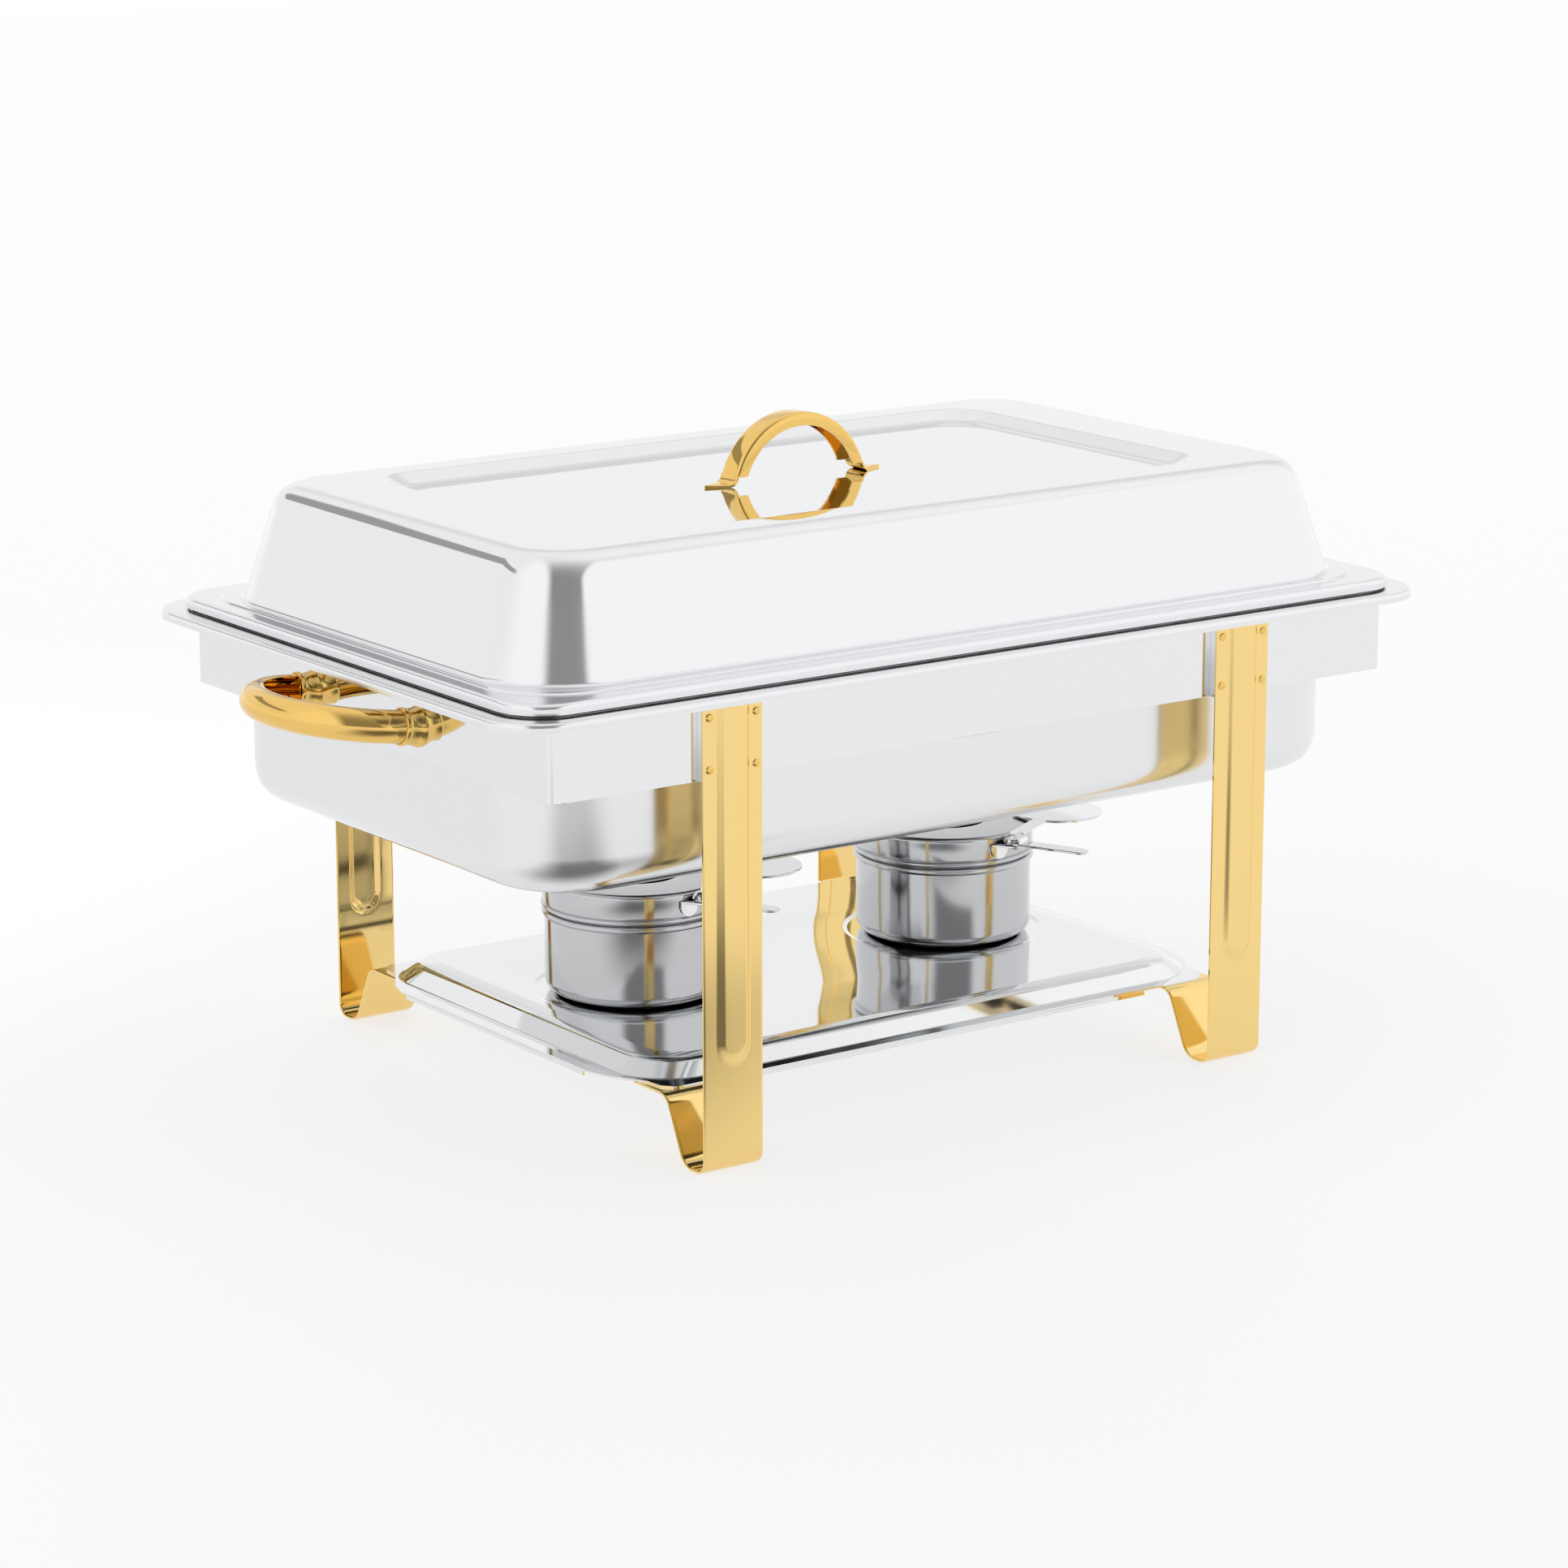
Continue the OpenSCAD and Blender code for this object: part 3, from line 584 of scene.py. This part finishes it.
def lid_handle():
    """Arched channel whose strap flares at both ends into a flat, pointed foot."""
    high = node_box("lid_handle")[1]
    half, rise, tip = 41.0, high[2] - PANEL_Z, high[0] - 0.1
    web, deep = 1.4, 6.6  # thickness of the channel's back, and depth of its flanges
    neck, bend = 5.5, 4.0  # the flanges end at this height; radius of the bend into each foot
    r = (half * half + rise * rise) / (2 * rise)
    centre = rise - r
    flare = math.sqrt((r + bend) ** 2 - (web + bend - centre) ** 2)
    lean = math.degrees(math.atan2(web + bend - centre, flare))

    def section(x, z):
        """Outline of the strap across one place: a channel on the arch, a flat strip on the feet."""
        width = float(np.interp(abs(x), [half + 0.5, 46.0, 53.5, tip], [high[1], 4.6, 1.0, 0.3]))
        depth = web + 0.05 + (deep - web) * smooth((z - neck) / 1.2)
        soft_x = min(2.4, width * 0.45)
        soft_z = min(2.0, 0.4 * depth)
        top = [(-width + soft_x * (1 - math.cos(a)), -soft_z * (1 - math.sin(a)))
               for a in np.radians((0, 20, 45, 68, 90))]
        ring = [(-width, -depth)] + top + [(-a, b) for a, b in top[::-1]] + [(width, -depth)]
        lip = min(web, width * 0.4)
        fillet = min(0.8, width * 0.15)
        inside = [(width - lip, -depth), (width - lip, -web - 0.04), (width - lip - fillet, -web)]
        return ring + inside + [(-a, b) for a, b in inside[::-1]]

    left = [((-x, web), (0.0, 1.0)) for x in np.linspace(tip, flare, 12)[:-1]]
    for a in np.radians(np.linspace(-90, -lean, 13)[:-1]):
        place = (-flare + bend * math.cos(a), web + bend + bend * math.sin(a))
        left.append((place, (-math.cos(a), -math.sin(a))))
    arch = [((r * math.cos(a), centre + r * math.sin(a)), (math.cos(a), math.sin(a)))
            for a in np.radians(np.linspace(180 - lean, lean, 109))]
    right = [((-x, z), (-nx, nz)) for (x, z), (nx, nz) in left[::-1]]
    rings = []
    for (x, z), (nx, nz) in left + arch + right:
        rings.append([(x + b * nx, a, PANEL_Z + z + b * nz) for a, b in section(x, z)])
    piece("lid_handle_arch", *loft(rings), GOLD_POLISH, "lid", "gold_plate", ["lid_handle"], sharp=40)


# ---------------------------------------------------------------- shelf and burners

SHELF_HIGH = node_box("burner_shelf")[1]
POT_LOW, POT_HIGH = node_box("burner_pot_right")
BURNER_X = (POT_LOW[0] + POT_HIGH[0]) / 2
SEAT_OUT, SEAT_IN, SEAT_DEEP = 53.6, 50.6, 0.6  # dished seat under a pot: edge, flat part, depth


def sheet(loops, z):
    """A flat face at a height, inside the first outline and outside the others."""
    loops = [[Vector((x, y, z)) for x, y in one] for one in loops]
    flat = [tuple(p) for one in loops for p in one]
    return flat, [list(t) for t in tessellate_polygon(loops)]


def build_shelf():
    """Pressed tray: a flange with cut corners, a raised middle with two dished seats, and folded hems."""
    hx, hy, top = SHELF_HIGH
    flange = 34.2
    ear = [(0, 46.8), (3.7, 33.8), (14.2, 16.3), (15.2, 5.8), (20.7, 0)]  # cut corner, in from its two sides
    quarter = [(hx - a, hy - b) for a, b in ear]
    loop = quarter + [(-x, y) for x, y in quarter[::-1]]
    loop += [(-x, -y) for x, y in loop]
    edge = rounded([loop[-1]] + loop + [loop[0]], [4.0] * len(loop), n=5)[1:-1]
    foot = (175.5, 126.0, 32.0)
    head = (156.0, 111.7, 22.0)
    # side view of the raised wall: t goes from the foot's outline to the head's, u from the flange to the top
    wall = []
    for t, u in rounded([(-0.12, 0), (0, 0), (0.52, 0.9), (1, 1), (1.16, 1)], [0.16, 0.45, 0.3], n=8):
        size = [f + (h - f) * t for f, h in zip(foot, head)]
        wall.append((outline(*size), flange + u * (top - flange)))
    parts = []
    for under in (0.0, SHEET):
        rings = [[(x, y, z - under) for x, y in ring] for ring, z in wall]
        parts.append(loft(rings, cap_start=False, cap_end=False))
        hoops = []
        for cx in (-BURNER_X, BURNER_X):
            hoops.append(circle(cx, 0, SEAT_OUT, 96))
            dish = []
            for t in np.linspace(0, 1, 9):
                dish.append((SEAT_OUT + (SEAT_IN - SEAT_OUT) * t, SEAT_DEEP * smooth(t)))
            dish.append((20.0, SEAT_DEEP))
            rings = [[(x, y, top - under - down) for x, y in circle(cx, 0, r, 96)] for r, down in dish]
            parts.append(loft(rings, cap_start=False))
        parts.append(sheet([wall[-1][0]] + hoops, top - under))
        parts.append(sheet([edge, wall[0][0]], flange - under))
    # edge of the sheet
    parts.append(loft([[(x, y, flange - SHEET) for x, y in edge], [(x, y, flange) for x, y in edge]],
                      cap_start=False, cap_end=False))
    # hems, folded down along the middle of each side
    hem_x, hem_y, hem = 127.0, 82.0, 2.4
    half_t = SHEET / 2
    for s in (-1, 1):
        for half_x, half_y, shift in ((hem_x, half_t, (0, s * (hy - half_t), 0)),
                                      (half_t, hem_y, (s * (hx - half_t), 0, 0))):
            strip = [(-half_x, -half_y), (half_x, -half_y), (half_x, half_y), (-half_x, half_y)]
            parts.append(moved(plate(strip, flange - SHEET - hem, flange - SHEET, 0.2), shift))
    piece("burner_shelf_tray", *merge(*parts), MIRROR_STEEL,
          "frame", "polished_steel", ["burner_shelf"], sharp=30)


POT_Z, POT_TOP = POT_LOW[2], POT_HIGH[2]
COVER_LOW = POT_TOP + 0.3
COVER_TOP = node_box("burner_cover_right")[1][2]
PIVOT = np.array([6.0, -54.0])  # the snuffer's pin, from the pot's middle
ARM = float(np.linalg.norm(PIVOT))
ARM_DIR, LEVER_DIR = 27.8, -66.0  # degrees, with the snuffer swung open
DISC_Z, LEVER_Z = COVER_TOP + 0.8, COVER_TOP - 4.0
PLATE = 1.2  # thickness of the snuffer's sheet
EYE = 5.0  # outer radius of the snuffer's arched eye


def burner_pot(side, cx):
    """Spun pot with a rounded foot and a rolled bead under its mouth."""
    r, edge = 46.0, 6.5
    profile = [(0, POT_Z + 0.6), (r - edge - 6, POT_Z + 0.6), (r - edge - 4, POT_Z)]
    profile += arc(r - edge, POT_Z + edge, edge, 270, 360, 10)
    profile += [(r, POT_TOP - 4.2)] + arc(r - 0.2, POT_TOP - 2.3, 1.9, -70, 90, 10)
    profile += [(r - 1, POT_TOP - 0.5)] + arc(r - edge, POT_Z + edge, edge - 1, 0, -90, 8)
    profile += [(0, POT_Z + 1.6)]
    shape = moved(lathe(profile, closed=False), (cx, 0, 0))
    name = "burner_pot_" + side
    piece(name + "_spun", *shape, SPUN_STEEL_PAINTED_SHADE, "pot_" + side, "polished_steel", [name])


def burner_cover(side, cx):
    """Cover that plugs into the pot: a beaded skirt, an upright collar, a flat top and a round opening."""
    r, hole, neck = 47.3, 21.5, 44.7
    z0, z1 = COVER_LOW, COVER_TOP
    profile = [(neck, z0 - 6), (neck, z0), (r - 0.6, z0)] + arc(r - 0.7, z0 + 1.35, 1.35, -80, 80, 8)
    profile += [(r - 0.25, z0 + 3.1), (r - 0.1, z0 + 3.8), (r - 0.1, z1 - 2.4)]
    profile += arc(r - 2.5, z1 - 2.4, 2.4, 0, 90, 8)
    profile += [(hole + 3, z1 - 0.15)] + arc(hole + 1.4, z1 - 1.4, 1.25, 90, 180, 6)
    profile += [(hole + 0.15, z1 - 3), (hole + 1.0, z1 - 3), (hole + 1.2, z1 - 1.6), (hole + 3, z1 - 1.1)]
    profile += [(r - 3, z1 - 1.0), (r - 1, z1 - 2.6), (r - 1, z0 + 2.6)]
    profile += [(neck - 0.9, z0 + 1), (neck - 0.9, z0 - 6)]
    shape = moved(lathe(profile), (cx, 0, 0))
    name = "burner_cover_" + side
    piece(name + "_spun", *shape, SPUN_STEEL_PAINTED_SHADE, "cover_" + side, "polished_steel", [name])


def snuffer(side, cx):
    """Flat disc on an arm, an arched eye over the pin, and a finger lever, all cut from one sheet."""
    disc = circle(ARM, 0, 24.0, 96)
    arm = rounded([(1.5, -3.6), (ARM - 21, -4.0), (ARM - 21, 4.0), (1.5, 3.6)], [0, 0])
    arm_plate = moved(plate(arm, DISC_Z + 0.02, DISC_Z + PLATE - 0.02, 0.2), turn=ARM_DIR)
    disc_plate = moved(plate(disc, DISC_Z, DISC_Z + PLATE, 0.3), turn=ARM_DIR)
    length, half, pin_hole = 42.0, 4.8, circle(0, 0, 1.56, 32)
    lever = arc(length - half, 0, half, -90, 90, 20) + arc(0, 0, 5.6, 118, 242, 16)
    lever_plate = moved(plate(lever, LEVER_Z, LEVER_Z + PLATE, 0.3, holes=[pin_hole]), turn=LEVER_DIR)
    bow = arc(0, 0, EYE, 0, 180, 20) + arc(0, 0, EYE - 1.0, 180, 0, 20)
    points, faces = plate(bow, -4.5, 4.5, 0.2)
    standing = [(x, z, y + LEVER_Z + PLATE - 0.02) for x, y, z in points]
    parts = merge(arm_plate, disc_plate, lever_plate, moved((standing, faces), turn=LEVER_DIR))
    shape = moved(parts, (cx + PIVOT[0], PIVOT[1], 0))
    name = "snuffer_" + side
    piece(name + "_blade", *shape, MIRROR_STEEL, name, "polished_steel", [name])


def snuffer_bracket(side, cx):
    """Curved tab spot-welded to the collar, with a ledge that carries the pin."""
    r_in, r_out, ledge_top = 47.55, 48.8, LEVER_Z - 0.3
    half = 5.0
    round_z = COVER_LOW + 3.2 + half  # the tab's lower end is round below this height

    def bent(r, xs):
        """Points of the collar's front at a radius."""
        return [(x, -math.sqrt(r ** 2 - x * x)) for x in xs]

    rows = []
    for z in list(round_z - half * np.cos(np.radians(np.linspace(12, 90, 10)))) + [ledge_top]:
        w = half if z >= round_z else math.sqrt(max(half * half - (round_z - z) ** 2, 0.2))
        a = np.linspace(-w, w, 13)
        rows.append([(x, y, z) for x, y in bent(r_out, a) + bent(r_in, a[::-1])])
    fan = arc(PIVOT[0], PIVOT[1], 5.0, -160, 20, 20)
    ledge = plate(fan + bent(r_in, np.linspace(13, -5, 12)), ledge_top - 1.2, ledge_top, 0.2)
    shape = moved(merge(loft(rows), ledge), (cx, 0, 0))
    name = "snuffer_bracket_" + side
    piece(name + "_tab", *shape, MIRROR_STEEL, "cover_" + side, "polished_steel", [name])


def snuffer_pin(side, cx):
    """Pin with a head at each end."""
    z0, z1 = (corner[2] for corner in node_box("snuffer_pin_" + side))
    r, head = 1.5, 2.7
    profile = [(0, z0), (head - 0.3, z0), (head, z0 + 0.3), (head, z0 + 1), (r, z0 + 1), (r, z1 - 1)]
    profile += [(head, z1 - 1)] + arc(head - 0.8, z1 - 0.8, 0.8, 0, 90, 5) + [(0, z1)]
    shape = moved(lathe(profile, 32, closed=False), (cx + PIVOT[0], PIVOT[1], 0))
    name = "snuffer_pin_" + side
    piece(name + "_rivet", *shape, SPUN_STEEL_PAINTED_SHADE, "cover_" + side, "polished_steel", [name])


# ---------------------------------------------------------------- rivets, by Geometry Nodes

def rivet_tree():
    """Puts a domed rivet on every point of the input, leaning by Tilt about X."""
    tree = bpy.data.node_groups.new("rivet_row", "GeometryNodeTree")
    face = tree.interface
    face.new_socket("Geometry", in_out="INPUT", socket_type="NodeSocketGeometry")
    for name in ("Head radius", "Head height", "Tilt"):
        face.new_socket(name, in_out="INPUT", socket_type="NodeSocketFloat")
    face.new_socket("Finish", in_out="INPUT", socket_type="NodeSocketMaterial")
    face.new_socket("Geometry", in_out="OUTPUT", socket_type="NodeSocketGeometry")
    given = add(tree, "NodeGroupInput")
    ball = add(tree, "GeometryNodeMeshUVSphere", {"Segments": 24, "Rings": 12},
               {"Radius": (given, "Head radius")})
    squat = add(tree, "ShaderNodeMath", {"operation": "DIVIDE"})
    tree.links.new(given.outputs["Head height"], squat.inputs[0])
    tree.links.new(given.outputs["Head radius"], squat.inputs[1])
    size = add(tree, "ShaderNodeCombineXYZ", {"X": 1.0, "Y": 1.0}, {"Z": (squat, "Value")})
    flat = add(tree, "GeometryNodeTransform", {}, {"Geometry": (ball, "Mesh"), "Scale": (size, "Vector")})
    lean = add(tree, "ShaderNodeCombineXYZ", {}, {"X": (given, "Tilt")})
    points = add(tree, "GeometryNodeMeshToPoints", {}, {"Mesh": (given, "Geometry")})
    turn = add(tree, "FunctionNodeEulerToRotation", {}, {"Euler": (lean, "Vector")})
    placed = add(tree, "GeometryNodeInstanceOnPoints", {},
                 {"Points": (points, "Points"), "Instance": (flat, "Geometry"),
                  "Rotation": (turn, "Rotation")})
    real = add(tree, "GeometryNodeRealizeInstances", {}, {"Geometry": (placed, "Instances")})
    soft = add(tree, "GeometryNodeSetShadeSmooth", {}, {"Geometry": (real, "Geometry")})
    done = add(tree, "GeometryNodeSetMaterial", {},
               {"Geometry": (soft, "Geometry"), "Material": (given, "Finish")})
    add(tree, "NodeGroupOutput", {}, {"Geometry": (done, "Geometry")})
    return tree


def rivets(name, spots, tree, sizes, node):
    """A leg's rivets, made by the tree and kept as a plain mesh."""
    mesh = bpy.data.meshes.new(name + "_spots")
    mesh.from_pydata([tuple(c * MM for c in p) for p in spots], [], [])
    seed = bpy.data.objects.new(name + "_spots", mesh)
    bpy.context.scene.collection.objects.link(seed)
    modifier = seed.modifiers.new("rivets", "NODES")
    modifier.node_group = tree
    sockets = {s.name: s.identifier for s in tree.interface.items_tree if s.in_out == "INPUT"}
    for key, value in sizes.items():
        modifier[sockets[key]] = value
    bpy.context.view_layer.update()
    result = bpy.data.meshes.new_from_object(seed.evaluated_get(bpy.context.evaluated_depsgraph_get()))
    bpy.data.objects.remove(seed)
    made = bpy.data.objects.new(name, result)
    bpy.context.scene.collection.objects.link(made)
    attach(made, "frame")
    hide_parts(node)


def all_rivets():
    """Four rivets on each leg, two above two."""
    tree = rivet_tree()
    sizes = {"Head radius": 2.1 * MM, "Head height": 0.85 * MM,
             "Tilt": math.radians(90), "Finish": GOLD_POLISH}
    for where in LEGS:
        middle, _, _, outer_y = strap(where)
        spots = [(middle + dx, outer_y, z) for dx in (-13.4, 13.4) for z in (198.0, 223.0)]
        rivets("rivets_" + where, spots, tree, sizes, "leg_rivets_" + where)


# ---------------------------------------------------------------- studio

def facing(azimuth):
    """Level directions towards a place round the object, and to the right of it."""
    a = math.radians(azimuth)
    return Vector((math.sin(a), -math.cos(a), 0)), Vector((math.cos(a), math.sin(a), 0))


def floor():
    """Pale matt floor that glows a little, so that shadows on it stay light."""
    half = 6.0
    mesh = bpy.data.meshes.new("floor")
    corners = [(-half, -half, 0), (half, -half, 0), (half, half, 0), (-half, half, 0)]
    mesh.from_pydata(corners, [], [(0, 1, 2, 3)])
    made = bpy.data.objects.new("floor", mesh)
    bpy.context.scene.collection.objects.link(made)
    pale = matt("pale_floor", "#959595", 0.9)
    shader = pale.node_tree.nodes["Principled BSDF"]
    shader.inputs["Emission Color"].default_value = (1, 1, 1, 1)
    shader.inputs["Emission Strength"].default_value = 0.68
    mesh.materials.append(pale)


def sky():
    """White sky all round. The grey patches in it draw the dark lines and soft shades on polished metal."""
    world = bpy.data.worlds.new("studio")
    world.use_nodes = True
    tree = world.node_tree
    tree.nodes.clear()
    look = add(tree, "ShaderNodeTexCoord"), "Generated"
    split = add(tree, "ShaderNodeSeparateXYZ", {}, {"Vector": look})
    x, y, z = (split, "X"), (split, "Y"), (split, "Z")
    toward, side = facing(AZIMUTH)
    near = measured(tree, look, toward)
    across = measured(tree, look, side)
    white = 1.08
    patches = (
        # faint haze low behind the object
        (-0.10, (z, 0.02, 0.10), (y, 0.0, 0.5)),
        # grey band high behind on the left, which draws the lid's top edge
        (-0.6, (z, 0.38, 0.40), (z, 0.54, 0.52), (x, 0.0, -0.1), (y, 0.3, 0.5)),
        # fainter band high behind on the right
        (-0.16, (z, 0.28, 0.42), (z, 0.72, 0.5), (y, 0.15, 0.5), (x, 0.1, 0.4)),
        # broad shade on the near side, which the corners of the lid and pans mirror as upright streaks
        (-0.78, (near, -0.6, 0.92), (across, -0.34, -0.12), (across, 0.66, 0.52), (z, -0.05, 0.1)))
    light = None
    for depth, *edges in patches:
        patch, output = times(tree, *[soften(tree, value, start, end) for value, start, end in edges])
        step = add(tree, "ShaderNodeMath", {"operation": "MULTIPLY_ADD"})
        tree.links.new(patch.outputs[output], step.inputs[0])
        step.inputs[1].default_value = depth
        step.inputs[2].default_value = white
        if light:
            tree.links.new(light.outputs["Value"], step.inputs[2])
        light = step
    back = add(tree, "ShaderNodeBackground", {"Color": (1, 1, 1, 1)}, {"Strength": (light, "Value")})
    add(tree, "ShaderNodeOutputWorld", links={"Surface": (back, "Background")})
    bpy.context.scene.world = world
    bpy.context.scene.view_settings.view_transform = "Standard"


def soft_card(name, grey, azimuth, height, width, depth, left, right, fades):
    """A card lying just over the floor, which only polished metal sees. width and depth are its (from, to) to
    the right and outward; left and right are (start, end) of its soft sides; fades are (start, end, from, to)
    steps outward."""
    way, side = facing(azimuth)
    made = bpy.data.materials.new(name)
    made.use_nodes = True
    tree = made.node_tree
    tree.nodes.clear()
    here = add(tree, "ShaderNodeTexCoord"), "Object"
    across = measured(tree, here, side)
    outward = measured(tree, here, way)
    parts = [soften(tree, across, *left), soften(tree, across, *right)]
    parts += [soften(tree, outward, *fade) for fade in fades]
    clear = add(tree, "ShaderNodeBsdfTransparent")
    glow = add(tree, "ShaderNodeEmission", {"Color": linear(grey), "Strength": 1.0})
    mix = add(tree, "ShaderNodeMixShader", {}, {"Fac": times(tree, *parts)})
    tree.links.new(clear.outputs["BSDF"], mix.inputs[1])
    tree.links.new(glow.outputs["Emission"], mix.inputs[2])
    add(tree, "ShaderNodeOutputMaterial", links={"Surface": (mix, "Shader")})
    corners = ((width[0], depth[0]), (width[1], depth[0]), (width[1], depth[1]), (width[0], depth[1]))
    mesh = bpy.data.meshes.new(name)
    mesh.from_pydata([way * d + side * s + Vector((0, 0, height)) for s, d in corners], [], [(0, 1, 2, 3)])
    mesh.materials.append(made)
    card = bpy.data.objects.new(name, mesh)
    bpy.context.scene.collection.objects.link(card)
    for kind in ("camera", "diffuse", "shadow", "transmission"):
        setattr(card, "visible_" + kind, False)


def studio():
    """Floor, sky, a dark card in front of the object and a pale one behind it on the left."""
    floor()
    sky()
    soft_card("card_on_floor", "#78787A", AZIMUTH, 0.002,
              (-0.6, 0.7), (0.2, 1.5), (-0.36, -0.10), (0.40, 0.1),
              [(0.22, 0.4, 0.0, 1.0), (0.55, 0.85, 1.0, 0.35), (0.9, 1.3, 1.0, 0.0)])
    soft_card("card_back_left", "#F6F6F7", -145, 0.003,
              (-0.9, 0.9), (0.3, 2.0), (-0.8, -0.4), (0.8, 0.4),
              [(0.32, 0.5, 0.0, 1.0), (1.4, 1.9, 1.0, 0.0)])


# ---------------------------------------------------------------- build

place_camera()
lid_dome()
lid_handle()
food_pan()
water_pan()
frame_band()
for where in LEGS:
    leg(where)
    leg_spacer(where)
side_handle("left", -1)
side_handle("right", 1)
build_shelf()
for side, cx in (("left", -BURNER_X), ("right", BURNER_X)):
    burner_pot(side, cx)
    burner_cover(side, cx)
    snuffer(side, cx)
    snuffer_bracket(side, cx)
    snuffer_pin(side, cx)
all_rivets()
studio()
